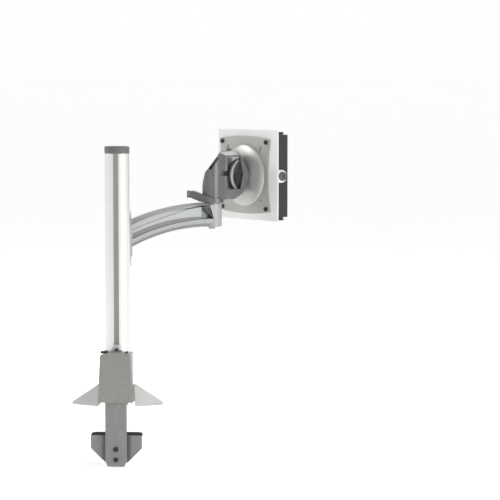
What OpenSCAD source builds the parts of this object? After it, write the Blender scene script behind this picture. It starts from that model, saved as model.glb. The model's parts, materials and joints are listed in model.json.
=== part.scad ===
// Clamp-on monitor arm: a round column on a desk clamp, one curved swing arm,
// a tilting knuckle and a square plate with a sideways quick-release bracket.
// Frame: origin on the column's axis at the desk top, +Z up, +Y towards the
// desk, +X to the right of a person standing behind the desk's edge.

/* [Column] */
// Outside diameter of the column
column_d = 36; // [35:0.5:37]
// Height of the column's top end above the desk
column_top = 363.5; // [345:0.5:420]
// Height of the cap on the column
cap_h = 10; // [6:1:14]
// Width of the rear filler groove
groove_w = 7.2; // [5:0.2:8]

/* [Foot] */
// Distance from the column's axis to each wing's tip
wing_reach = 66; // [60:1:75]
// Distance from the column's axis to the foot's front edge
foot_front = 84; // [70:1:100]
// Height where the wings meet the housing
wing_h = 31.5; // [28:0.5:38]
// Height of the collar around the column
collar_h = 76; // [75:0.5:77]

/* [Clamp] */
// Width of the post that carries the jaw
post_w = 30.5; // [28:0.5:31]
// Gap between the foot and the jaw pad at rest
desk_gap = 39.5; // [30:0.5:45]
// Width of the jaw
jaw_w = 74; // [60:1:80]
// Depth of the jaw under the desk, in front of the post
jaw_depth = 19; // [15:1:40]

/* [Arm] */
// Distance between the arm's two pivots
arm_len = 151.9; // [150:0.1:160]
// Direction of the arm at rest, from +X towards +Y
arm_dir = 32.3; // [10:0.1:60]
// Height of the arm's top at its far pivot
arm_top = 285; // [284:0.5:286]
// Width of the arm
arm_w = 29; // [26:1:32]

/* [Head] */
// Direction that the monitor plate faces at rest, from +X towards +Y
face_dir = 44; // [10:0.5:80]
// Distance from the head's pivot to the back of the plate
plate_p = 64; // [64:0.5:70]
// Height of the plate's centre
plate_z = 325; // [324:0.5:327]
// Side of the quick-release receiver
receiver_w = 136; // [130:1:140]

/* [Hidden] */
$fn = 96;
far = 400;

vesa = 100;          // width between the monitor screws
vesa_small = 75;     // width of the small screw pattern

run = 0.06;          // radial gap of a shaft that turns in its hole
press = 0.02;        // radial gap of a shaft that is fixed in its hole
gap = 0.3;           // gap between curved faces that slide past each other

column_r = column_d / 2;
pad_t = 2;           // sole pad
floor_z = 10;        // where the column stands in its socket
notch_z = 8;         // underside of the housing, beside the post
sole_z = 0.5;        // underside of the casting, around the pad
wing_x = 27;         // where the wings start
rear_y = -26;        // desk-side face of the wings
pillar_x = 14;       // half width of the centre pillar that reaches the sole
collar_r = column_r + 4;
nose_top = 90;
bolt_r = 4;

post_y0 = -34.5;     // rear face of the post
post_y1 = -24.8;     // edge of the post that meets the desk
post_t = 3;
post_top = 44;
post_bottom = -desk_gap - 46;
post_taper = -desk_gap - 38;
slot_x = post_w / 2 + gap;
housing_x = 19.2;
housing_y = -36.6;
housing_top = 70;
bridge_z = 64;       // underside of the bridge that the clamp screw hangs from
screw_y = -28.3;
screw_r = 3;
cover_y = -39;
cover_t = 1.6;
cover_bottom_w = 50.5;
cover_top_w = 43.4;
cover_corner_z = 75.5;
cover_apex_z = 80;

jaw_pad_t = 1.5;
jaw_top = -desk_gap - jaw_pad_t;
jaw_t = 3;
jaw_bottom = -desk_gap - 42;
jaw_bolt_z = [-desk_gap - 20.8, -desk_gap - 36];
fold_x0 = 16;        // the jaw's wings fold back between these two places
fold_x1 = 20.8;
jaw_head_r = [3.6, 3.0];

pivot_y = 42;        // arm pivot in front of the column's axis
boss_r = 17;
boss_z0 = 211;
boss_z1 = 264;
pin_r = 5;
washer_t = 1.4;
lug_t = 12;
lug_r = 15.5;
block_z0 = 186;
block_z1 = 296;
liner_r = column_r + gap + 1.5;

top_r = 350;         // radius of the arm's top curve
top_s = 140;         // its crown, measured along the arm
crown_z = arm_top + 0.2;
top_bevel_w = 4;
top_bevel_h = 2.6;
arm_bottom = arm_top - 34.4;
end_z = arm_bottom - 0.7; // underside of the arm's far end
bottom_r = 288.3;
bottom_s = 131.9;
ridge_r = 763.2;     // upper edge of the side channels
ridge_s = 268.9;
ridge_z = -467.8;
ridge_top = arm_top - 2.9;
sill_r = 346.2;      // lower edge of the side channels
sill_s = 140.8;
sill_z = -84.2;
cover_r = 281.5;     // lower edge of the side covers
cover_s = 118.6;
cover_z = -15.7;
channel_start = 12;
cover_end = 126.9;
channel_end = arm_len - 5.5;
channel_depth = 2.2;
end_r = arm_w / 2;

spigot_r = 7;
lever_z = arm_top + 0.4;
lever_t = 4.6;
lever_r = 17.5;
knuckle_z = lever_z + lever_t + 0.4;
knuckle_r = 14.3;
knuckle_half = 22;
cheek_in = 16.9;
knuckle_top = knuckle_z + 71.6;
tilt_p = 48;
axle_r = 3.5;
hub_r = 26;
hub_side_t = 6;      // the hub's half discs
hub_rim_t = 2;       // the rim that stands proud of them
window_z0 = 305.5;
window_z1 = 353.7;
window_p0 = 13.5;
notch_z0 = 326;
notch_z1 = 333;
// The knuckle's back slope: distance to the right of its pivot, and height
back_slope = [[-14.8, 308], [-12.6, 319.2], [-9.6, 331.2], [-4.35, 337.2], [31.5, 388.2]];
shaft_r = 6;
dome_r = 47;
dome_h = 7.5;
plate_t = 2.5;
receiver_t = 2;
receiver_d = 22;
half = receiver_w / 2;
receiver_shift = 5;  // the receiver sits this much towards the lock screw
ear_z = 9.5;         // lock screw, measured from the plate's back
ear_r = 9.5;
lock_r = 2.5;

module at_arm() {
    translate([0, pivot_y, 0]) rotate([0, 0, arm_dir]) children();
}

module at_pivot() {
    at_arm() translate([arm_len, 0, 0]) rotate([0, 0, -arm_dir]) children();
}

module at_head() {
    at_pivot() rotate([0, 0, face_dir]) children();
}

// x across the plate, y up, z towards the monitor, from the plate's back
module at_plate() {
    at_head() translate([plate_p, 0, plate_z]) rotate([90, 0, 90]) children();
}

module mirrored_x() {
    children();
    mirror([1, 0, 0]) children();
}

// A rod along Z between two heights
module rod(r, z0, z1) {
    translate([0, 0, z0]) cylinder(r = r, h = z1 - z0);
}

// A tapered rod along Z
module rod_cone(r0, r1, z0, z1) {
    translate([0, 0, z0]) cylinder(r1 = r0, r2 = r1, h = z1 - z0);
}

module ring(r_in, r_out, z0, z1) {
    difference() {
        rod(r_out, z0, z1);
        rod(r_in, z0 - 1, z1 + 1);
    }
}

// A box from one corner to the other
module block(low, high) {
    translate(low) cube(high - low);
}

// A profile drawn in X and Z, extruded along Y
module side_profile(y0, y1) {
    translate([0, y1, 0]) rotate([90, 0, 0]) linear_extrude(y1 - y0) children();
}

module hex_socket(r, z0, z1) {
    translate([0, 0, z0]) cylinder(r = r, h = z1 - z0, $fn = 6);
}

module corners(pitch) {
    for (x = [-1, 1], y = [-1, 1]) translate([x * pitch / 2, y * pitch / 2, 0]) children();
}

// ---- foot -----------------------------------------------------------------

module foot_plan(inset = 0) {
    polygon([
        [-wing_x + inset, rear_y + inset],
        [-wing_reach + 2 * inset, -8 + inset],
        [-wing_reach + 3 + inset, 4],
        [-24 + inset, foot_front - inset],
        [24 - inset, foot_front - inset],
        [wing_reach - 3 - inset, 4],
        [wing_reach - 2 * inset, -8 + inset],
        [wing_x - inset, rear_y + inset]
    ]);
}

module clamp_notch() {
    mirrored_x() block([pillar_x, rear_y - 20, -1], [wing_x, 30, notch_z]);
    block([-pillar_x - 1, rear_y - 20, -1], [pillar_x + 1, -22, notch_z]);
}

module post_slot() {
    block([-slot_x, post_y0 - gap, -1], [slot_x, post_y1 + 0.2, bridge_z]);
}

module nose() {
    intersection() {
        ring(column_r + 0.05, column_r + 3.5, collar_h - 1, nose_top);
        side_profile(-column_r - 6, 0)
            polygon([[-13, collar_h - 1], [13, collar_h - 1], [2, nose_top], [-2, nose_top]]);
    }
}

module base_casting() {
    color("silver") difference() {
        union() {
            hull() {
                translate([0, 0, sole_z]) linear_extrude(4) foot_plan();
                block([-wing_x, rear_y, sole_z], [wing_x, rear_y + 12, wing_h]);
            }
            rod(collar_r, pad_t, collar_h);
            block([-housing_x, housing_y, notch_z], [housing_x, -10, housing_top]);
            nose();
        }
        translate([0, 0, -1]) linear_extrude(1 + pad_t) foot_plan(3);
        clamp_notch();
        rod(column_r + 0.05, floor_z, nose_top + 1);
        post_slot();
        translate([0, screw_y, 0]) rod(screw_r + run, bridge_z - 1, housing_top + 1);
        rod(bolt_r + gap, 0, floor_z + 1);
        rod(2 * bolt_r, 0, floor_z - 2.8);
        translate([0, 0, collar_h + 6]) rotate([90, 0, 0]) rod(2 + press, 10, 30);
    }
}

module sole_pad() {
    color("dimgray") difference() {
        linear_extrude(pad_t) foot_plan(3.3);
        clamp_notch();
    }
}

module column_bolt() {
    color("gray") difference() {
        union() {
            rod(bolt_r, pad_t + 0.4, 40);
            rod(2 * bolt_r - 0.4, pad_t + 0.4, floor_z - 3);
        }
        hex_socket(3, pad_t, floor_z - 5);
    }
}

module column_gasket() {
    top = collar_h + 2.6;
    color("black") difference() {
        union() {
            rod(column_r + 1.6, collar_h, top);
            block([-23.4, -16, collar_h], [-16, -8, top]);
        }
        rod(column_r + 0.1, collar_h - 1, top + 1);
        block([-13.4, -30, collar_h - 1], [12.4, 0, top + 1]);
        block([15.7, -30, collar_h - 1], [30, 30, top + 1]);
    }
}

module set_screw() {
    color("whitesmoke") translate([0, 0, collar_h + 6]) rotate([90, 0, 0]) difference() {
        rod(2, column_r + 0.3, column_r + 4.2);
        hex_socket(1.1, column_r + 2.4, column_r + 5);
    }
}

// Rear view outline of the cover, a trapezoid under an arched top
module cover_outline(inset) {
    rise = cover_apex_z - cover_corner_z;
    arch_r = (pow(cover_top_w / 2, 2) + rise * rise) / (2 * rise);
    intersection() {
        polygon([
            [-cover_bottom_w / 2 + inset, notch_z - (inset > 0 ? 1 : 0)],
            [cover_bottom_w / 2 - inset, notch_z - (inset > 0 ? 1 : 0)],
            [cover_top_w / 2 - inset - 0.3, cover_apex_z],
            [-cover_top_w / 2 + inset + 0.3, cover_apex_z]
        ]);
        translate([0, cover_apex_z - arch_r]) circle(r = arch_r - inset, $fn = 128);
    }
}

module rear_cover() {
    color("darkgray") difference() {
        side_profile(cover_y, rear_y - 0.4) cover_outline(0);
        side_profile(cover_y + cover_t, 0) cover_outline(cover_t);
    }
}

// ---- column ---------------------------------------------------------------

module column_section() {
    difference() {
        union() {
            difference() {
                circle(r = column_r);
                circle(r = column_r - 3);
            }
            circle(r = bolt_r + 2.5);
            translate([-1.25, -column_r + 4]) square([2.5, 2 * column_r - 8]);
            translate([-9.3, 7.3]) square([18.6, 8]);
            translate([-6, -15.3]) square([12, 2.6]);
        }
        circle(r = bolt_r + 0.05);
        translate([-7.5, 9.5]) square([15, 4.5]);
        translate([-4.1, 13]) square([8.2, 8]);
        translate([-groove_w / 2, -column_r - 2]) square([groove_w, 4.7]);
    }
}

module column_tube() {
    color("whitesmoke") translate([0, 0, floor_z + 0.05])
        linear_extrude(column_top - floor_z - 0.05) column_section();
}

module column_strip() {
    color("darkgray")
        block([-groove_w / 2 + 0.1, -column_r + 0.8, nose_top], [groove_w / 2 - 0.1, -15.35, column_top]);
}

module column_cap() {
    color("dimgray") {
        translate([0, 0, column_top]) rotate_extrude()
            polygon([[0, 0], [column_r, 0], [column_r, cap_h - 1], [column_r - 1, cap_h], [0, cap_h]]);
        mirrored_x() translate([10.5, 0, 0]) rod(2.4, column_top - 10, column_top + 1);
    }
}

// ---- clamp ----------------------------------------------------------------

module post_outline(half_w) {
    polygon([
        [-half_w, post_top], [-half_w, post_taper], [-half_w + 3.2, post_bottom],
        [half_w - 3.2, post_bottom], [half_w, post_taper], [half_w, post_top]
    ]);
}

module jaw_bolt_holes() {
    for (z = jaw_bolt_z) translate([0, 0, z]) rotate([90, 0, 0]) rod(2.5 + press, 0, 60);
}

module clamp_post() {
    color("gray") difference() {
        side_profile(post_y0, post_y1) post_outline(post_w / 2);
        block([-post_w / 2 + post_t, post_y0 + post_t, post_bottom - 1],
              [post_w / 2 - post_t, 0, post_top + 1]);
        jaw_bolt_holes();
    }
}

module clamp_nut() {
    color("gray") difference() {
        block([-post_w / 2 + post_t, post_y0 + post_t, post_top - 12],
              [post_w / 2 - post_t, post_y1 - 0.2, post_top]);
        translate([0, screw_y, 0]) rod(screw_r + run, post_top - 13, post_top + 1);
    }
}

module jaw_spacer() {
    color("gray") difference() {
        block([-post_w / 2 + post_t, post_y0 + post_t, post_bottom + 2],
              [post_w / 2 - post_t, post_y1, -desk_gap - 13]);
        jaw_bolt_holes();
    }
}

module jaw_plan(inset) {
    hx = jaw_w / 2 - inset;
    front = post_y1 + jaw_depth - inset;
    polygon([
        [-hx, post_y1 - jaw_t + inset], [-fold_x1, post_y1 - jaw_t + inset],
        [-fold_x0, post_y1 + inset], [fold_x0, post_y1 + inset],
        [fold_x1, post_y1 - jaw_t + inset], [hx, post_y1 - jaw_t + inset],
        [hx, front - 5], [hx - 6, front], [6 - hx, front], [-hx, front - 5]
    ]);
}

// The folded plate seen from above
module jaw_fold() {
    hx = jaw_w / 2;
    lean = 0.8;
    polygon([
        [-hx, post_y1 - jaw_t], [-fold_x1, post_y1 - jaw_t], [-fold_x0, post_y1],
        [fold_x0, post_y1], [fold_x1, post_y1 - jaw_t], [hx, post_y1 - jaw_t],
        [hx, post_y1], [fold_x1 + lean, post_y1], [fold_x0 + lean, post_y1 + jaw_t],
        [-fold_x0 - lean, post_y1 + jaw_t], [-fold_x1 - lean, post_y1], [-hx, post_y1]
    ]);
}

module jaw_outline() {
    hx = jaw_w / 2 + 1;
    polygon([
        [-hx, jaw_top], [-hx, -desk_gap - 19.4], [-15.5, jaw_bottom],
        [15.5, jaw_bottom], [hx, -desk_gap - 19.4], [hx, jaw_top]
    ]);
}

module jaw_rib() {
    front = post_y1 + jaw_depth - 4;
    rotate([90, 0, 90]) linear_extrude(jaw_t) polygon([
        [post_y1 + 1, jaw_top - 1], [front, jaw_top - 1],
        [front, jaw_top - 4], [post_y1 + 1, jaw_bottom + 8]
    ]);
}

module lower_jaw() {
    color("darkgray") difference() {
        union() {
            intersection() {
                side_profile(post_y1 - 2 * jaw_t, post_y1 + 2 * jaw_t) jaw_outline();
                translate([0, 0, jaw_bottom - 1]) linear_extrude(jaw_top - jaw_bottom + 2) jaw_fold();
            }
            translate([0, 0, jaw_top - jaw_t]) linear_extrude(jaw_t) jaw_plan(0);
            mirrored_x() translate([12.5, 0, 0]) jaw_rib();
        }
        jaw_bolt_holes();
    }
}

module jaw_pad() {
    color("black") translate([0, 0, jaw_top]) linear_extrude(jaw_pad_t) jaw_plan(0.5);
}

module jaw_screws() {
    color("black") for (i = [0, 1]) translate([0, 0, jaw_bolt_z[i]]) rotate([90, 0, 0])
        difference() {
            union() {
                rod(2.5, 17, -post_y0);
                rod(jaw_head_r[i], -post_y0, 2 - post_y0);
            }
            hex_socket(1.6, 0.6 - post_y0, 3 - post_y0);
        }
}

module jaw_nuts() {
    color("gray") for (z = jaw_bolt_z) translate([0, 0, z]) rotate([90, 0, 0]) difference() {
        hex_socket(4.6, 17.8, -post_y1 - jaw_t);
        rod(2.5 + press, 10, 30);
    }
}

module clamp_screw() {
    color("gray") translate([0, screw_y, 0]) difference() {
        union() {
            rod(screw_r, 4, housing_top + 0.2);
            rod(5.2, housing_top + 0.1, housing_top + 6);
        }
        hex_socket(2.5, housing_top + 2.5, housing_top + 7);
    }
}

// ---- height carriage --------------------------------------------------------

module lug(z0) {
    difference() {
        union() {
            translate([0, pivot_y, 0]) rod(lug_r, z0, z0 + lug_t);
            block([-lug_r, liner_r, z0], [lug_r, pivot_y, z0 + lug_t]);
        }
        translate([0, pivot_y, 0]) rod(pin_r + press, z0 - 1, z0 + lug_t + 1);
    }
}

module carriage_holes() {
    for (z = [block_z0 + 5.5, block_z1 - 8]) translate([0, 0, z]) rotate([-90, 0, 0])
        rod(2.5 + press, 9, 40);
}

module slider_block() {
    color("silver") difference() {
        union() {
            block([-15, 10, block_z0], [15, pivot_y - boss_r - 0.6, block_z1]);
            lug(boss_z0 - washer_t - 0.1 - lug_t);
            lug(boss_z1 + washer_t + 0.1);
        }
        rod(liner_r + 0.05, block_z0 - 1, block_z1 + 1);
        carriage_holes();
    }
}

module glide_liner() {
    color("black") difference() {
        intersection() {
            ring(column_r + gap, liner_r, block_z0, block_z1);
            block([-15, 9, block_z0], [15, 30, block_z1]);
        }
        block([-4.2, 0, block_z0 - 1], [4.2, 30, block_z1 + 1]);
    }
}

module t_nut() {
    color("gray") difference() {
        union() {
            block([-7.1, 9.8, block_z0 + 1], [7.1, 13.7, block_z1 - 1]);
            block([-3.8, 13.6, block_z0 + 1], [3.8, 19.2, block_z1 - 1]);
        }
        carriage_holes();
    }
}

module carriage_screws() {
    front = pivot_y - boss_r - 0.6;
    color("dimgray") for (z = [block_z0 + 5.5, block_z1 - 8]) translate([0, 0, z])
        rotate([-90, 0, 0]) difference() {
            union() {
                rod(2.5, 10.2, front);
                rod(4.2, front, front + 4);
            }
            hex_socket(1.8, front + 1.6, front + 5);
        }
}

module pivot_pin() {
    top = boss_z1 + washer_t + 0.1 + lug_t;
    bottom = boss_z0 - washer_t - 0.1 - lug_t;
    color("gray") translate([0, pivot_y, 0]) {
        rod(pin_r, bottom - 2.5, top + 0.5);
        rod(8, top, top + 3.5);
    }
}

module thrust_washers() {
    color("dimgray") translate([0, pivot_y, 0])
        for (z = [boss_z0 - washer_t - 0.1, boss_z1 + 0.1])
            ring(pin_r + 0.1, 13, z, z + washer_t);
}

// ---- arm ----------------------------------------------------------------------

// A disc whose axis lies across the arm
module arm_disc(s, z, r, half_w) {
    translate([s, 0, z]) rotate([90, 0, 0]) translate([0, 0, -half_w])
        cylinder(r = r, h = 2 * half_w, $fn = 256);
}

module top_curve() {
    flat = end_r - top_bevel_w;
    translate([top_s, 0, crown_z - top_r]) rotate([90, 0, 0]) {
        rod(top_r, -flat, flat);
        rod_cone(top_r - top_bevel_h, top_r, -end_r, -flat);
        rod_cone(top_r, top_r - top_bevel_h, flat, end_r);
    }
}

module bottom_cut() {
    bevel = 9.5;
    flat = end_r - 4.5;
    translate([bottom_s, 0, arm_bottom - bottom_r]) rotate([90, 0, 0]) {
        rod(bottom_r, -end_r - 2, end_r + 2);
        rod_cone(bottom_r + 2 * bevel, bottom_r, -end_r - 4.5, -flat);
        rod_cone(bottom_r, bottom_r + 2 * bevel, flat, end_r + 4.5);
    }
}

// The channel in the arm's side, drawn in by a trim, between two lateral places
module side_band(s0, s1, n0, n1, trim) {
    difference() {
        intersection() {
            arm_disc(ridge_s, ridge_z, ridge_r - trim, far);
            block([s0, n0, 100], [s1, n1, ridge_top - trim]);
        }
        arm_disc(sill_s, sill_z, sill_r + trim, far);
    }
}

module arm_bar() {
    difference() {
        intersection() {
            top_curve();
            block([3, -end_r - 1, 100], [arm_len - 3, end_r + 1, far]);
        }
        bottom_cut();
    }
}

module arm_body() {
    color("silver") at_arm() difference() {
        union() {
            arm_bar();
            rod(boss_r, boss_z0, boss_z1);
            translate([arm_len, 0, 0]) rod(end_r + 0.4, end_z, arm_top);
        }
        for (side = [0, 1]) mirror([0, side, 0]) {
            side_band(channel_start, channel_end, -end_r - 1, -end_r + channel_depth, 0);
            side_band(cover_end + 0.5, channel_end - 0.6, -end_r + 1, -end_r + 5.5, 0.8);
        }
        rod(8, boss_z0 - 1, boss_z1 + 1);
        translate([arm_len, 0, 0]) {
            rod(spigot_r + press, arm_bottom + 12, arm_top + 10);
            rod(3.2, end_z - 1, arm_bottom + 13);
        }
    }
}

module side_cover(side) {
    color("gainsboro") at_arm() mirror([0, side, 0]) difference() {
        side_band(channel_start + 0.4, cover_end, -end_r + 0.4, -end_r + channel_depth, 0.5);
        arm_disc(cover_s, cover_z, cover_r, far);
    }
}

module side_cover_near() {
    side_cover(0);
}

module side_cover_far() {
    side_cover(1);
}

module arm_bushes() {
    color("goldenrod") at_arm() for (z = [boss_z0, boss_z1 - 16])
        ring(pin_r + run, 8, z, z + 16);
}

module head_spigot() {
    color("gray") at_pivot() difference() {
        rod(spigot_r, arm_bottom + 12, knuckle_z + 31.6);
        rod(3 + press, arm_bottom + 11, arm_bottom + 24);
        rod(2.5 + press, knuckle_z + 18, knuckle_z + 40);
    }
}

module end_bolt() {
    color("silver") at_pivot() {
        rod(3, arm_bottom - 1, arm_bottom + 22);
        hex_socket(5.2, end_z - 3.5, end_z);
    }
}

// ---- head ---------------------------------------------------------------------

module lever_outline() {
    z = lever_z;
    polygon([
        [lever_r + 1, z], [0, z], [-17.8, z + 2], [-33, z + 8], [-33, z + 17],
        [-28, z + 17.6], [-16.6, z + 14.2], [0, z + 9], [lever_r + 1, z + 5.3]
    ]);
}

module lever_shape() {
    union() {
        rod(lever_r, lever_z - 1, lever_z + 30);
        translate([0, 0, lever_z - 1]) linear_extrude(31)
            polygon([[0, -14], [-6, -16.2], [-33, -7], [-33, 7], [-6, 16.2], [0, 14]]);
    }
}

// The rim stands up only where the knuckle's cheeks leave room for it
module release_lever() {
    rim_z = lever_z + lever_t;
    color("gray") at_pivot() difference() {
        intersection() {
            side_profile(-lever_r - 1, lever_r + 1) lever_outline();
            lever_shape();
        }
        rod(spigot_r + run, lever_z - 1, lever_z + 20);
        rod(knuckle_r + 1.5, rim_z, lever_z + 40);
        block([-19.5, 0, rim_z], [30, 30, far]);
        block([-40, 8, rim_z], [0, 31, far]);
        rotate([0, 0, face_dir]) block([1.5, -30, rim_z], [40, 30, far]);
    }
}

module lever_tab() {
    color("dimgray") at_pivot() difference() {
        block([-37, -7, lever_z + 7.5], [-33, 7, lever_z + 17.8]);
        for (y = [-4, 0, 4]) block([-38, y - 0.6, lever_z + 7], [-36.2, y + 0.6, lever_z + 18]);
    }
}

module knuckle_plan() {
    circle(r = knuckle_r);
    polygon([
        [0, -14], [8, -knuckle_half], [58, -knuckle_half],
        [58, knuckle_half], [8, knuckle_half], [0, 14]
    ]);
}

module knuckle_side() {
    z = knuckle_z;
    polygon([
        [-16, z - 1], [-16, knuckle_top + 2], [40, knuckle_top + 2], [39, z + 65.4],
        [56.5, z + 36.5], [56.5, z + 34.5], [42.5, z + 8], [23.4, z - 1]
    ]);
}

// Cross section with a chamfer along both top edges
module knuckle_section() {
    half_w = knuckle_half + 1;
    rotate([90, 0, 90]) translate([0, 0, -20]) linear_extrude(90) polygon([
        [-half_w, knuckle_z - 1], [half_w, knuckle_z - 1], [half_w, knuckle_top - 6.9],
        [13, knuckle_top], [-13, knuckle_top], [-half_w, knuckle_top - 6.9]
    ]);
}

// Everything above the knuckle's back slope, moved towards the head by a shift
module slope_cut(shift = 0) {
    rotate([0, 0, -face_dir]) side_profile(-far, far) translate([shift, 0])
        polygon(concat(back_slope, [[-60, 388.2], [-60, 308]]));
}

// The slot in the back slope, closed towards the desk
module slope_slot() {
    rotate([0, 0, -face_dir]) side_profile(-far, 4)
        polygon([[-8.4, 340.1], [-0.67, 334.6], [11.3, 352.1], [3.5, 357.6]]);
}

module knuckle_window() {
    side_profile(-far, far)
        polygon([
            [window_p0, window_z0], [38.5, window_z0], [43.4, 328], [37.5, window_z1],
            [window_p0, window_z1]
        ]);
}

module tilt_bore(r) {
    translate([tilt_p, 0, plate_z]) rotate([90, 0, 0]) rod(r, -30, 30);
}

module knuckle_housing() {
    z = knuckle_z;
    color("gray") at_head() difference() {
        intersection() {
            translate([0, 0, z]) linear_extrude(knuckle_top - z + 1) knuckle_plan();
            side_profile(-far, far) knuckle_side();
            knuckle_section();
        }
        slope_cut();
        slope_slot();
        difference() {
            union() {
                block([12, -cheek_in, z + 8], [60, cheek_in, knuckle_top - 6.5]);
                knuckle_window();
            }
            slope_cut(3);
        }
        block([2.6, -far, notch_z0], [12.7, -knuckle_half + 6, notch_z1]);
        rod(spigot_r + 2.5, z - 1, z + 42);
        tilt_bore(axle_r + press);
    }
}

module knuckle_bush() {
    color("goldenrod") at_head() ring(spigot_r + run, spigot_r + 2.5, knuckle_z + 0.6, knuckle_z + 31);
}

module spigot_clip() {
    z = knuckle_z + 31.6;
    color("gray") at_pivot() {
        ring(2.5 + press, 8.6, z, z + 2);
        rod(2.5, z - 12, z + 2.5);
        rod(4.6, z + 2, z + 5.5);
    }
}

module tilt_axle() {
    color("gainsboro") at_head() translate([tilt_p, 0, plate_z]) rotate([90, 0, 0])
        rod(axle_r, -knuckle_half + 0.2, knuckle_half - 0.2);
}

// Half disc round the tilt axis with a hole low down
module hub_side(r_in, r_out) {
    difference() {
        intersection() {
            translate([tilt_p, plate_z]) circle(r = r_out);
            translate([tilt_p - hub_r - 1, plate_z - hub_r - 1]) square([hub_r + 1, 2 * hub_r + 2]);
        }
        translate([tilt_p + 6, plate_z]) circle(r = r_in);
    }
}

module tilt_hub() {
    color("silver") at_head() difference() {
        union() {
            translate([tilt_p, 0, plate_z]) {
                rotate([90, 0, 0]) rod(6.6, -15.8, 15.8);
                rotate([0, 90, 0]) rod(8.5, 0, plate_p - dome_h - gap - tilt_p);
            }
            difference() {
                for (y = [-14.5, 8.5]) side_profile(y, y + hub_side_t) hub_side(3, hub_r);
                side_profile(-far, far) translate([34, 309]) circle(r = 4.5);
            }
            for (y = [-16.5, 14.4]) side_profile(y, y + hub_rim_t + 0.1) hub_side(26.5, hub_r - 0.5);
        }
        tilt_bore(axle_r + run);
        translate([0, 0, plate_z]) rotate([0, 90, 0]) rod(shaft_r + press, tilt_p + 4, plate_p);
    }
}

module tilt_washers() {
    color("dimgray") at_head() translate([tilt_p, 0, plate_z]) rotate([90, 0, 0])
        for (y = [-16.7, 15.9]) ring(axle_r + run, 6, y, y + 0.8);
}

module rotate_shaft() {
    color("gray") at_plate() rod(shaft_r, tilt_p + 4.1 - plate_p, -0.4);
}

module shaft_washer() {
    color("gray") at_plate() ring(shaft_r + press, 12, -3.7, -2.4);
}

module shaft_nut() {
    color("gray") at_plate() difference() {
        hex_socket(9.5, -2.4, -0.3);
        rod(shaft_r + press, -3, 1);
    }
}

module dome_cover() {
    steps = 18;
    color("silver") at_plate() difference() {
        rotate_extrude($fn = 128) polygon([
            [0, 0],
            for (i = [0:steps]) [dome_r * cos(i * 90 / steps), -dome_h * sin(i * 90 / steps)]
        ]);
        rod(38, -2.2, 1);
        rod(14, -4, 1);
        rod(shaft_r + run, -dome_h - 1, 1);
    }
}

// Square whose top and bottom bulge and whose sides are hollowed
module plate_outline() {
    side_r = 312;
    sagitta = 4.8;
    top_arc_r = 408;
    half_across = vesa / 2 + 7;
    half_up = vesa / 2 + 8.5;
    difference() {
        intersection() {
            square([2 * half_across, 2 * half_up + 2], center = true);
            translate([0, half_up - top_arc_r]) circle(r = top_arc_r, $fn = 256);
            translate([0, top_arc_r - half_up]) circle(r = top_arc_r, $fn = 256);
        }
        for (side = [-1, 1])
            translate([side * (half_across - sagitta + side_r), 0]) circle(r = side_r, $fn = 256);
    }
}

module keyhole() {
    circle(r = 1.6, $fn = 32);
    translate([1.4, -1]) circle(r = 2, $fn = 32);
    translate([-1, 0]) square([2.2, 6]);
    translate([-0.2, 6]) circle(r = 1.2, $fn = 32);
}

module short_slot() {
    for (x = [-1.2, 1.2]) translate([x, 0]) circle(r = 1.1, $fn = 32);
    square([2.4, 2.2], center = true);
}

module vesa_plate() {
    color("silver") at_plate() difference() {
        linear_extrude(plate_t) plate_outline();
        corners(vesa) rod(2.6, -1, plate_t + 1);
        for (x = [-1, 1]) translate([x * vesa_small / 2, 0, -1]) linear_extrude(plate_t + 2) {
            translate([0, -vesa_small / 2]) short_slot();
            translate([0, vesa_small / 2]) keyhole();
        }
    }
}

module plate_screws() {
    color("black") at_plate() corners(vesa) difference() {
        union() {
            rod(1.68, -1, plate_t + receiver_t + 0.6);
            rod(3.4, -2.2, 0);
        }
        hex_socket(1.5, -3, -0.9);
    }
}

module receiver() {
    z0 = plate_t;
    color("white") at_plate() difference() {
        translate([-receiver_shift, 0, 0]) union() {
            block([-half, -half, z0], [half, half, z0 + receiver_t]);
            for (side = [-1, 1]) scale([1, side, 1]) {
                block([-half, half - receiver_t, z0], [half, half, z0 + receiver_d]);
                block([-half, half - 6, z0 + 12.5], [half, half - 1, z0 + 14.5]);
            }
            block([-half - 2, -ear_r, z0], [-half + 4, ear_r, z0 + receiver_t]);
            block([-half - 2, -ear_r, z0], [-half, ear_r, ear_z]);
            translate([0, 0, ear_z]) rotate([0, -90, 0]) rod(ear_r, half, half + 2);
        }
        corners(vesa) rod(1.7, 0, z0 + 10);
        at_lock() rod(lock_r + run, half - 5, half + 5);
    }
}

// z out through the ear, along the lock screw
module at_lock() {
    translate([-receiver_shift, 0, ear_z]) rotate([0, -90, 0]) children();
}

module lock_screw() {
    color("silver") at_plate() at_lock() difference() {
        union() {
            rod(lock_r, half - 5.5, half + 2.2);
            rod(6.8, half + 2.1, half + 5);
            rod(5.6, half + 4.9, half + 5.8);
        }
        for (a = [45, 135]) rotate([0, 0, a])
            block([-4.2, -0.7, half + 4.2], [4.2, 0.7, half + 7]);
    }
}

// Monitor plate that slides sideways out of the receiver
module slide_plate() {
    z0 = plate_t;
    z1 = plate_t + receiver_d;
    web = half - 6.5;
    color("dimgray") at_plate() difference() {
        translate([-receiver_shift, 0, 0]) union() {
            block([-half + 2, -web, z1 - 4], [half - 2, web, z1]);
            for (side = [-1, 1]) scale([1, side, 1]) {
                block([-half + 2, web - 2, z0 + 5.5], [half - 2, web, z1 - 1]);
                block([-half + 2, web - 1, z0 + 5.5], [half - 2, half - 2.5, z0 + 12]);
            }
            block([-half + 2, -web, z0 + 3], [-half + 4.5, web, z1 - 1]);
        }
        corners(vesa) rod(2.25, z1 - 5, z1 + 1);
        corners(vesa_small) rod(2.25, z1 - 5, z1 + 1);
        at_lock() rod(lock_r + run, half - 8, half + 5);
    }
}

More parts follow.
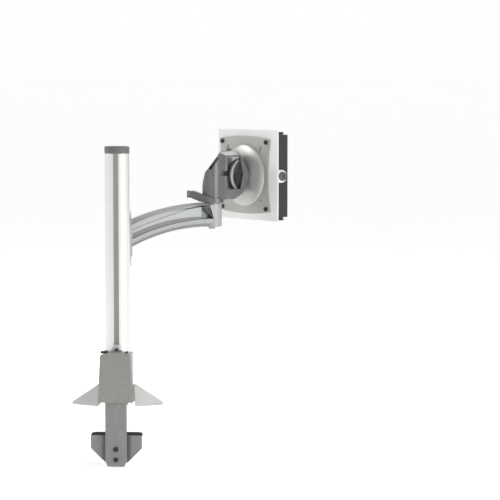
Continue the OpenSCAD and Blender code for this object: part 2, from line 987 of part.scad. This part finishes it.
base_casting();
sole_pad();
column_bolt();
column_gasket();
set_screw();
rear_cover();
column_tube();
column_strip();
column_cap();
clamp_post();
clamp_nut();
jaw_spacer();
lower_jaw();
jaw_pad();
jaw_screws();
jaw_nuts();
clamp_screw();
slider_block();
glide_liner();
t_nut();
carriage_screws();
pivot_pin();
thrust_washers();
arm_body();
side_cover_near();
side_cover_far();
arm_bushes();
head_spigot();
end_bolt();
release_lever();
lever_tab();
knuckle_housing();
knuckle_bush();
spigot_clip();
tilt_axle();
tilt_hub();
tilt_washers();
rotate_shaft();
shaft_washer();
shaft_nut();
dome_cover();
vesa_plate();
plate_screws();
receiver();
lock_screw();
slide_plate();
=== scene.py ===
"""Looks of a clamp-on monitor arm: cast foot, column, curved arm, tilting knuckle
and quick-release plate. Metres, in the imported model's frame."""
import json
import math

import bmesh
import bpy
from mathutils import Matrix, Vector


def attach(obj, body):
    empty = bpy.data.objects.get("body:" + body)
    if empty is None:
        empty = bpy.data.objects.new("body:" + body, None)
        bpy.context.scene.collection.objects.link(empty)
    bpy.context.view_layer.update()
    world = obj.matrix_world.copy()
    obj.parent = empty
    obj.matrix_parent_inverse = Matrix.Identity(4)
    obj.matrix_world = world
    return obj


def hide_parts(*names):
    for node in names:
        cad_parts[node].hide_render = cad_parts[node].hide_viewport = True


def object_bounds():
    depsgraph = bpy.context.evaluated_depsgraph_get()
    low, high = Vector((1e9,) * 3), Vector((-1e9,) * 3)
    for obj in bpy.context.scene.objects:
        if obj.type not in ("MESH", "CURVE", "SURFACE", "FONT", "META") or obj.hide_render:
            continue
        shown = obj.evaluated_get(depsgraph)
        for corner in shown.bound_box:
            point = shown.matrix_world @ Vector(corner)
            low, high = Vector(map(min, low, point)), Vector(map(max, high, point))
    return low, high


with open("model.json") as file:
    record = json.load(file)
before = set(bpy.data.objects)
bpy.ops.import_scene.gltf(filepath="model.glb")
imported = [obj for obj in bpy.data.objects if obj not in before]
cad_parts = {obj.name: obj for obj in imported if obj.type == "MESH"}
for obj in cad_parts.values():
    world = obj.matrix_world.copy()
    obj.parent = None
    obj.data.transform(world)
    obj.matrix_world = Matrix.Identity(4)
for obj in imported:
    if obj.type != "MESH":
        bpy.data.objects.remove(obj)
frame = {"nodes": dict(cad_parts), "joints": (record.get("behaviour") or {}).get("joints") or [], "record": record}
cad_low, cad_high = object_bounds()
NODES = frame["nodes"]
JOINTS = {j["name"]: j for j in frame["joints"]}
MM = 0.001

# ---- places worked out from the frame ------------------------------------------------
SWING = Vector(JOINTS["arm_swing"]["pos_m"])
PIVOT = Vector(JOINTS["head_swivel"]["pos_m"])
FACE = Vector(JOINTS["plate_rotate"]["axis"]).normalized()
SIDE = Vector(JOINTS["lock_screw_turn"]["axis"]).normalized()
UP = Vector((0, 0, 1))
ARM_DIR = (PIVOT - SWING)
ARM_DIR.z = 0
ARM_LEN = ARM_DIR.length
ARM_DIR.normalize()
ARM_SIDE = ARM_DIR.cross(UP)          # the side of the arm that the photograph shows


# ---- materials -----------------------------------------------------------------------
class Nodes:
    """Short ways of adding shader nodes to one material."""

    def __init__(self, name):
        self.mat = bpy.data.materials.new(name)
        self.mat.use_nodes = True
        self.tree = self.mat.node_tree
        self.bsdf = self.tree.nodes["Principled BSDF"]
        self.coord = self.tree.nodes.new("ShaderNodeTexCoord")

    def add(self, kind, inputs=None, **settings):
        node = self.tree.nodes.new(kind)
        for key, value in settings.items():
            setattr(node, key, value)
        for key, value in (inputs or {}).items():
            if isinstance(value, bpy.types.NodeSocket):
                self.tree.links.new(value, node.inputs[key])
            else:
                node.inputs[key].default_value = value
        return node

    def stretched(self, scale):
        """Object coordinates, scaled differently along each axis."""
        mapping = self.add("ShaderNodeMapping", {"Vector": self.coord.outputs["Object"]})
        mapping.inputs["Scale"].default_value = scale
        return mapping.outputs["Vector"]

    def noise(self, scale, detail=2.0, vector=None, roughness=0.5):
        node = self.add("ShaderNodeTexNoise", {
            "Vector": vector or self.coord.outputs["Object"],
            "Scale": scale, "Detail": detail, "Roughness": roughness})
        return node.outputs["Fac"]

    def ramp(self, factor, low, high, out_low=0.0, out_high=1.0):
        node = self.add("ShaderNodeMapRange", {
            "Value": factor, "From Min": low, "From Max": high,
            "To Min": out_low, "To Max": out_high})
        return node.outputs["Result"]

    def mix(self, factor, a, b, blend="MIX"):
        node = self.add("ShaderNodeMix", data_type="RGBA", blend_type=blend)
        for socket, value in (("Factor", factor), ("A", a), ("B", b)):
            target = [s for s in node.inputs if s.name == socket
                      and s.type == ("VALUE" if socket == "Factor" else "RGBA")][0]
            if isinstance(value, bpy.types.NodeSocket):
                self.tree.links.new(value, target)
            else:
                target.default_value = value
        return [s for s in node.outputs if s.type == "RGBA"][0]

    def math(self, operation, a, b):
        return self.add("ShaderNodeMath", {0: a, 1: b}, operation=operation).outputs[0]


def tint(colour, factor):
    return tuple(min(1.0, c * factor) for c in colour) + (1.0,)


def surface(name, colour, rough, metal=0.0, mottle=0.06, mottle_size=0.03, rough_swing=0.06,
            grain=0.0006, grain_strength=0.15, streaks=None, streak_amount=0.0, speck=0.0,
            wear=0.0, coat=0.0, specular=0.5):
    """A finish with soft colour drift, fine grain, optional streaks, flecks and edge wear."""
    n = Nodes(name)
    drift = n.noise(1 / mottle_size, 3.0)
    fine = n.noise(1 / grain, 2.0)
    base = n.mix(n.ramp(drift, 0.3, 0.7), tint(colour, 1 - mottle), tint(colour, 1 + mottle))
    height = fine
    gloss = n.ramp(drift, 0.3, 0.7, rough - rough_swing, rough + rough_swing)
    if streaks:
        lines = n.noise(1.0, 3.0, n.stretched(streaks), 0.6)
        base = n.mix(n.ramp(lines, 0.3, 0.7, 0.0, streak_amount), base, tint(colour, 0.62))
        gloss = n.math("ADD", gloss, n.ramp(lines, 0.3, 0.7, -0.05, 0.07))
        height = n.math("ADD", n.math("MULTIPLY", fine, 0.4), lines)
    if speck:
        flecks = n.noise(1 / (grain * 1.7), 1.0)
        base = n.mix(n.ramp(flecks, 0.56, 0.68, 0.0, speck), base, tint(colour, 1.7))
        base = n.mix(n.ramp(flecks, 0.44, 0.34, 0.0, speck), base, tint(colour, 0.5))
    if wear:
        geometry = n.add("ShaderNodeNewGeometry")
        rub = n.math("MULTIPLY", n.ramp(geometry.outputs["Pointiness"], 0.53, 0.62),
                     n.ramp(n.noise(220.0, 4.0), 0.4, 0.65))
        base = n.mix(n.math("MULTIPLY", rub, wear), base, tint(colour, 2.2))
        gloss = n.math("SUBTRACT", gloss, n.math("MULTIPLY", rub, 0.12 * wear))
    bump = n.add("ShaderNodeBump", {"Strength": grain_strength, "Distance": grain * 0.25,
                                    "Height": height})
    n.tree.links.new(base, n.bsdf.inputs["Base Color"])
    n.tree.links.new(gloss, n.bsdf.inputs["Roughness"])
    n.tree.links.new(bump.outputs["Normal"], n.bsdf.inputs["Normal"])
    n.bsdf.inputs["Metallic"].default_value = metal
    n.bsdf.inputs["Specular IOR Level"].default_value = specular
    n.bsdf.inputs["Coat Weight"].default_value = coat
    n.bsdf.inputs["Coat Roughness"].default_value = 0.25
    return n.mat


MATERIALS = {
    "cast_silver": surface("cast_silver", (0.45, 0.45, 0.44), 0.33, metal=0.7, mottle=0.05,
                           grain=0.0009, grain_strength=0.22, wear=0.3),
    "column_alu": surface("column_alu", (0.80, 0.80, 0.785), 0.34, metal=0.6, mottle=0.008,
                          rough_swing=0.02, grain_strength=0.004),
    "strip_grey": surface("strip_grey", (0.27, 0.275, 0.255), 0.52, mottle=0.04,
                          streaks=(1500, 1500, 8), streak_amount=0.08, grain_strength=0.12),
    "cap_grey": surface("cap_grey", (0.14, 0.14, 0.137), 0.55, mottle=0.06, grain=0.0005,
                        grain_strength=0.35, wear=0.25),
    "cover_grey": surface("cover_grey", (0.25, 0.258, 0.238), 0.56, mottle=0.02, grain=0.0007,
                          grain_strength=0.3, speck=0.03, wear=0.2),
    "clamp_steel": surface("clamp_steel", (0.235, 0.235, 0.23), 0.5, metal=0.1, mottle=0.03,
                           grain=0.0009, grain_strength=0.3, speck=0.10, wear=0.3),
    "rubber_black": surface("rubber_black", (0.022, 0.022, 0.022), 0.75, mottle=0.2,
                            grain=0.0006, grain_strength=0.4),
    "screw_black": surface("screw_black", (0.028, 0.028, 0.027), 0.42, metal=0.3, mottle=0.2,
                           grain=0.0004, grain_strength=0.2, wear=0.4),
    "steel": surface("steel", (0.52, 0.52, 0.51), 0.32, metal=1.0, mottle=0.05,
                     streaks=(900, 900, 2600), streak_amount=0.2, grain_strength=0.15),
    "bush_plastic": surface("bush_plastic", (0.72, 0.68, 0.55), 0.5, mottle=0.04),
    "arm_silver": surface("arm_silver", (0.375, 0.385, 0.375), 0.46, metal=0.22, mottle=0.025,
                          grain=0.0008, grain_strength=0.14, wear=0.3),
    "cover_silver": surface("cover_silver", (0.37, 0.385, 0.38), 0.42, metal=0.15, mottle=0.03,
                            grain=0.0006, grain_strength=0.10, coat=0.15),
    "knuckle_grey": surface("knuckle_grey", (0.165, 0.161, 0.161), 0.36, metal=0.42, mottle=0.05,
                            grain=0.0007, grain_strength=0.2, speck=0.06, wear=0.3),
    "plate_silver": surface("plate_silver", (0.44, 0.445, 0.42), 0.42, metal=0.4, mottle=0.03,
                            grain=0.0008, grain_strength=0.2, speck=0.04, wear=0.3),
    "dome_silver": surface("dome_silver", (0.53, 0.535, 0.515), 0.34, metal=0.4, mottle=0.02,
                           grain=0.0007, grain_strength=0.05),
    "white_paint": surface("white_paint", (0.84, 0.84, 0.83), 0.42, mottle=0.012,
                           grain=0.0012, grain_strength=0.14, coat=0.1),
    "dark_paint": surface("dark_paint", (0.026, 0.026, 0.024), 0.5, metal=0.2, mottle=0.1,
                          grain=0.0008, grain_strength=0.3, speck=0.10, wear=0.3),
    "bright_screw": surface("bright_screw", (0.16, 0.16, 0.155), 0.38, metal=1.0, mottle=0.06,
                            streaks=(1500, 1500, 1500), streak_amount=0.15, grain_strength=0.15),
}
# Second finishes on a node: the arm's side channel and window, the hub; and painted light: a lighter grey on the
# hub's side faces and the knuckle's inside
CHANNEL = surface("arm_channel", (0.215, 0.22, 0.215), 0.5, metal=0.2, mottle=0.06,
                  grain=0.0008, grain_strength=0.25)
WINDOW = surface("arm_window", (0.19, 0.22, 0.212), 0.42, metal=0.3, mottle=0.05,
                 grain=0.0008, grain_strength=0.2)
HUB = surface("hub_grey", (0.155, 0.153, 0.148), 0.5, metal=0.35, mottle=0.06,
              grain=0.0008, grain_strength=0.25)
# Painted light: the hub's faces that look across the head get a lighter grey than the rest of the hub, to lift the
# shade they lie in behind the knuckle's window
HUB_SIDES_PAINTED_LIGHT = surface("hub_sides_painted_light", (0.36, 0.355, 0.345), 0.6, mottle=0.05,
                   grain=0.0008, grain_strength=0.2)
# Painted light: the faces inside the knuckle get a lighter grey than its outside, to lift the shade in its cavity
INSIDE_PAINTED_LIGHT = surface("knuckle_inside_painted_light", (0.26, 0.26, 0.255), 0.55, metal=0.3, mottle=0.1,
                 grain=0.0008, grain_strength=0.3)

# ---- finished edges on the CAD nodes ----------------------------------------------------
# Widths in mm. Some of these rounded pieces touch their neighbours.
EDGE = {
    "base_casting": 0.8, "sole_pad": 0.5, "rear_cover": 0.7, "column_tube": 0.25,
    "column_cap": 0.4, "clamp_post": 0.9, "clamp_nut": 0.9, "lower_jaw": 0.6, "jaw_pad": 0.5,
    "slider_block": 0.8, "arm_body": 0.35, "side_cover_near": 0.3, "side_cover_far": 0.3,
    "release_lever": 0.7, "lever_tab": 0.5, "knuckle_housing": 0.6, "tilt_hub": 0.15,
    "vesa_plate": 0.4, "receiver": 0.5, "slide_plate": 0.5, "end_bolt": 0.3,
    "jaw_screws": 0.3, "plate_screws": 0.3, "lock_screw": 0.25, "carriage_screws": 0.3,
    "pivot_pin": 0.6, "clamp_screw": 0.4, "column_gasket": 0.4, "set_screw": 0.2,
    "column_strip": 0.15,
}
SLOTS = {p["node"]: p["material_slot"] for p in frame["record"]["subparts"]}
HARD = math.radians(28)               # corners steeper than this get a rounded edge
FACET = math.radians(14)              # shading runs smoothly over anything flatter
EDGE_STEPS = 2
WELD_GAP = 2e-6                       # metres
LEVEL = math.radians(0.4)             # faces closer in angle than this are merged


def in_arm(point):
    """Distance along the arm, across it and up, in mm."""
    away = point - SWING
    return away.dot(ARM_DIR) / MM, away.dot(ARM_SIDE) / MM, point.z / MM


def in_head(point):
    """Distance towards the monitor, to the lock screw's side and up, in mm."""
    away = point - PIVOT
    return away.dot(FACE) / MM, away.dot(SIDE) / MM, point.z / MM


def paint_part(name, material, chosen):
    """Gives the faces of a node that are chosen by their centre and normal another material: a second finish, or
    painted light.
    """
    mesh = NODES[name].data
    mesh.materials.append(material)
    index = len(mesh.materials) - 1
    for face in mesh.polygons:
        if chosen(face.center, face.normal):
            face.material_index = index


# Where those finishes lie, in mm along, across and up
CHANNEL_SPAN = (11.0, 146.6)
CHANNEL_REACH = (8.0, 12.5)           # from the arm's middle to the faces in its side
WINDOW_START = 127.2
WINDOW_RISE = (260.5, 283.0)
CAVITY_SPAN = (11.8, 60)
CAVITY_HALF = 17.2
CAVITY_RISE = (297.8, 357.0)
SQUARE_ON = 0.9                       # how closely a face has to look along a direction


def in_channel(centre, normal):
    along, across, _ = in_arm(centre)
    return (CHANNEL_SPAN[0] < along < CHANNEL_SPAN[1]
            and CHANNEL_REACH[0] < abs(across) < CHANNEL_REACH[1]
            and abs(normal.dot(ARM_SIDE)) > SQUARE_ON)


def in_window(centre, normal):
    along, across, up = in_arm(centre)
    return (WINDOW_START < along < CHANNEL_SPAN[1]
            and CHANNEL_REACH[0] < abs(across) < CHANNEL_REACH[1]
            and WINDOW_RISE[0] < up < WINDOW_RISE[1])


def in_cavity(centre, normal):
    forward, across, up = in_head(centre)
    return (CAVITY_SPAN[0] < forward < CAVITY_SPAN[1] and abs(across) < CAVITY_HALF
            and CAVITY_RISE[0] < up < CAVITY_RISE[1])


def anywhere(centre, normal):
    return True


def across_head(centre, normal):
    return abs(normal.dot(SIDE)) > SQUARE_ON


# A second finish per node, and painted light lifting the shade on the hub's side faces and inside the knuckle
SECOND_FINISH_AND_PAINTED_LIGHT = {
    "arm_body": ((CHANNEL, in_channel), (WINDOW, in_window)),
    "knuckle_housing": ((INSIDE_PAINTED_LIGHT, in_cavity),),
    "tilt_hub": ((HUB, anywhere), (HUB_SIDES_PAINTED_LIGHT, across_head)),
    "end_bolt": ((MATERIALS["arm_silver"], anywhere),),
    "tilt_axle": ((MATERIALS["knuckle_grey"], across_head),),
}

for name, node in NODES.items():
    mesh = node.data
    mesh.materials.clear()
    mesh.materials.append(MATERIALS[SLOTS[name]])
    given_normals = mesh.attributes.get("custom_normal")
    if given_normals:
        mesh.attributes.remove(given_normals)
    mesh.shade_smooth()
    for material, chosen in SECOND_FINISH_AND_PAINTED_LIGHT.get(name, ()):
        paint_part(name, material, chosen)
    weld = node.modifiers.new("weld", "WELD")
    weld.merge_threshold = WELD_GAP
    flat = node.modifiers.new("flat", "DECIMATE")
    flat.decimate_type = "DISSOLVE"
    flat.angle_limit = LEVEL
    flat.delimit = {"MATERIAL"}
    if name in EDGE:
        bevel = node.modifiers.new("edge", "BEVEL")
        bevel.width = EDGE[name] * MM
        bevel.segments = EDGE_STEPS
        bevel.limit_method = "ANGLE"
        bevel.angle_limit = HARD
        bevel.use_clamp_overlap = False
    split = node.modifiers.new("split", "EDGE_SPLIT")
    split.split_angle = FACET


# ---- the dome, turned as one smooth skin -------------------------------------------------
DOME_CENTRE = Vector(JOINTS["plate_rotate"]["pos_m"])
DOME_R = 0.047
DOME_H = 0.0075
DOME_RIM = 0.0008
DOME_GAP = 0.0001                     # between its flat back and the plate
DOME_LIP = 0.004                      # width of the ring round its back
LATHE_SHARP = math.radians(50)
DOME_RINGS = 28
DOME_SIDES = 144


def lathe(name, profile, centre, axis, sides, material):
    """A closed skin turned about an axis from (radius, distance along the axis) pairs."""
    across = axis.orthogonal().normalized()
    other = axis.cross(across)
    skin = bmesh.new()
    rings = []
    for radius, along in profile:
        at = centre + axis * along
        if radius == 0:
            rings.append([skin.verts.new(at)] * sides)
            continue
        turn = [2 * math.pi * i / sides for i in range(sides)]
        rings.append([skin.verts.new(at + (across * math.cos(a) + other * math.sin(a)) * radius)
                      for a in turn])
    for low, high in zip(rings, rings[1:]):
        for i in range(sides):
            j = (i + 1) % sides
            corners = []
            for corner in (low[i], low[j], high[j], high[i]):
                if corner not in corners:
                    corners.append(corner)
            skin.faces.new(corners)
    bmesh.ops.recalc_face_normals(skin, faces=skin.faces)
    mesh = bpy.data.meshes.new(name)
    skin.to_mesh(mesh)
    skin.free()
    mesh.shade_smooth()
    mesh.set_sharp_from_angle(angle=LATHE_SHARP)
    mesh.materials.append(material)
    turned = bpy.data.objects.new(name, mesh)
    bpy.context.scene.collection.objects.link(turned)
    return turned


dome_profile = [(0, -DOME_H)]
for i in range(1, DOME_RINGS + 1):
    bend = math.pi / 2 * i / DOME_RINGS
    dome_profile.append((DOME_R * math.sin(bend), -DOME_RIM - (DOME_H - DOME_RIM) * math.cos(bend)))
dome_profile += [(DOME_R, -DOME_GAP), (DOME_R - DOME_LIP, -DOME_GAP), (0, -DOME_GAP)]
dome = lathe("dome_skin", dome_profile, DOME_CENTRE, FACE, DOME_SIDES, MATERIALS["dome_silver"])
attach(dome, "plate")
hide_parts("dome_cover")

# ---- floor, light and camera -------------------------------------------------------------
FLOOR_SIZE = 400.0
FLOOR_GLOW = 0.45
FLOOR_DROP = 0.001                    # below the lowest point of the object
half = FLOOR_SIZE / 2
floor_z = cad_low.z - FLOOR_DROP
floor_mesh = bpy.data.meshes.new("floor")
floor_mesh.from_pydata([(-half, -half, floor_z), (half, -half, floor_z),
                        (half, half, floor_z), (-half, half, floor_z)], [], [(0, 1, 2, 3)])
floor = bpy.data.objects.new("floor", floor_mesh)
bpy.context.scene.collection.objects.link(floor)
floor_paint = surface("floor_paper", (0.90, 0.90, 0.895), 0.7, mottle=0.004, mottle_size=0.5,
                      grain=0.002, grain_strength=0.02, specular=0.2)
floor_mesh.materials.append(floor_paint)
floor_shader = floor_paint.node_tree.nodes["Principled BSDF"]
floor_shader.inputs["Emission Color"].default_value = (1.0, 1.0, 1.0, 1.0)
floor_shader.inputs["Emission Strength"].default_value = FLOOR_GLOW

scene = bpy.context.scene
scene.view_settings.view_transform = "Standard"
scene.view_settings.look = "None"

world = bpy.data.worlds.new("studio")
scene.world = world
world.use_nodes = True
world_tree = world.node_tree
background = world_tree.nodes["Background"]
direction = world_tree.nodes.new("ShaderNodeTexCoord")
axes = world_tree.nodes.new("ShaderNodeSeparateXYZ")
depth = world_tree.nodes.new("ShaderNodeMapRange")
depth.inputs["From Min"].default_value = -1.0
fade = world_tree.nodes.new("ShaderNodeValToRGB")
world_tree.links.new(direction.outputs["Generated"], axes.inputs[0])
world_tree.links.new(axes.outputs["Y"], depth.inputs["Value"])
world_tree.links.new(depth.outputs["Result"], fade.inputs["Fac"])
# The backdrop is white whichever way the camera looks; ROOM only lights the object
BACKDROP = 1.0
MIX_FACTOR, MIX_A, MIX_B = 0, 2, 3    # a Mix node's sockets for plain numbers
rays = world_tree.nodes.new("ShaderNodeLightPath")
seen = world_tree.nodes.new("ShaderNodeMix")
seen.inputs[MIX_B].default_value = BACKDROP
world_tree.links.new(rays.outputs["Is Camera Ray"], seen.inputs[MIX_FACTOR])
world_tree.links.new(fade.outputs["Color"], seen.inputs[MIX_A])
world_tree.links.new(seen.outputs[0], background.inputs["Strength"])
# Brightness by direction, from behind the camera (0) to behind the object (1)
ROOM = ((0.0, 0.30), (0.30, 0.52), (0.62, 0.60), (0.90, 0.50), (0.97, 1.0))
while len(fade.color_ramp.elements) < len(ROOM):
    fade.color_ramp.elements.new(0.5)
for stop, (place, level) in zip(fade.color_ramp.elements, ROOM):
    stop.position = place
    stop.color = (level, level, level, 1.0)
background.inputs["Color"].default_value = (1.0, 1.0, 1.0, 1.0)


def area_light(name, place, aim, size, power):
    data = bpy.data.lights.new(name, "AREA")
    data.shape = "RECTANGLE"
    data.size, data.size_y = size
    data.energy = power
    lamp = bpy.data.objects.new(name, data)
    lamp.location = place
    lamp.rotation_mode = "QUATERNION"
    lamp.rotation_quaternion = (Vector(aim) - Vector(place)).to_track_quat("-Z", "Y")
    scene.collection.objects.link(lamp)


CENTRE = (cad_low + cad_high) / 2
area_light("key_right", CENTRE + Vector((1.9, -1.2, 0.6)), CENTRE, (0.4, 1.5), 19)
area_light("high_left", CENTRE + Vector((-2.0, 0.1, 1.0)), CENTRE, (0.7, 0.7), 11)
area_light("top_back", CENTRE + Vector((0.9, 1.3, 1.7)), CENTRE, (1.0, 1.0), 16)
area_light("strip_left", CENTRE + Vector((-0.5, -2.2, 0.5)), CENTRE, (0.25, 1.4), 3)

sun_data = bpy.data.lights.new("top_fill", "SUN")
sun_data.energy = 0.1
sun_data.angle = math.radians(50)
sun = bpy.data.objects.new("top_fill", sun_data)
sun.rotation_euler = (math.radians(25), math.radians(20), 0)
scene.collection.objects.link(sun)

VIEW_TURN = 2.7                       # the camera's bearing about the column
CAMERA_AT = Vector((0.191, -2.943, 0.477))
CAMERA_PITCH = 85.09                  # degrees up from looking straight down
camera_data = bpy.data.cameras.new("camera")
camera_data.lens = 147.6
camera_data.sensor_width = 36.0
camera_data.clip_end = 600.0
camera = bpy.data.objects.new("camera", camera_data)
camera.location = Matrix.Rotation(math.radians(VIEW_TURN), 3, "Z") @ CAMERA_AT
camera.rotation_euler = (math.radians(CAMERA_PITCH), 0, math.radians(VIEW_TURN))
scene.collection.objects.link(camera)
scene.camera = camera
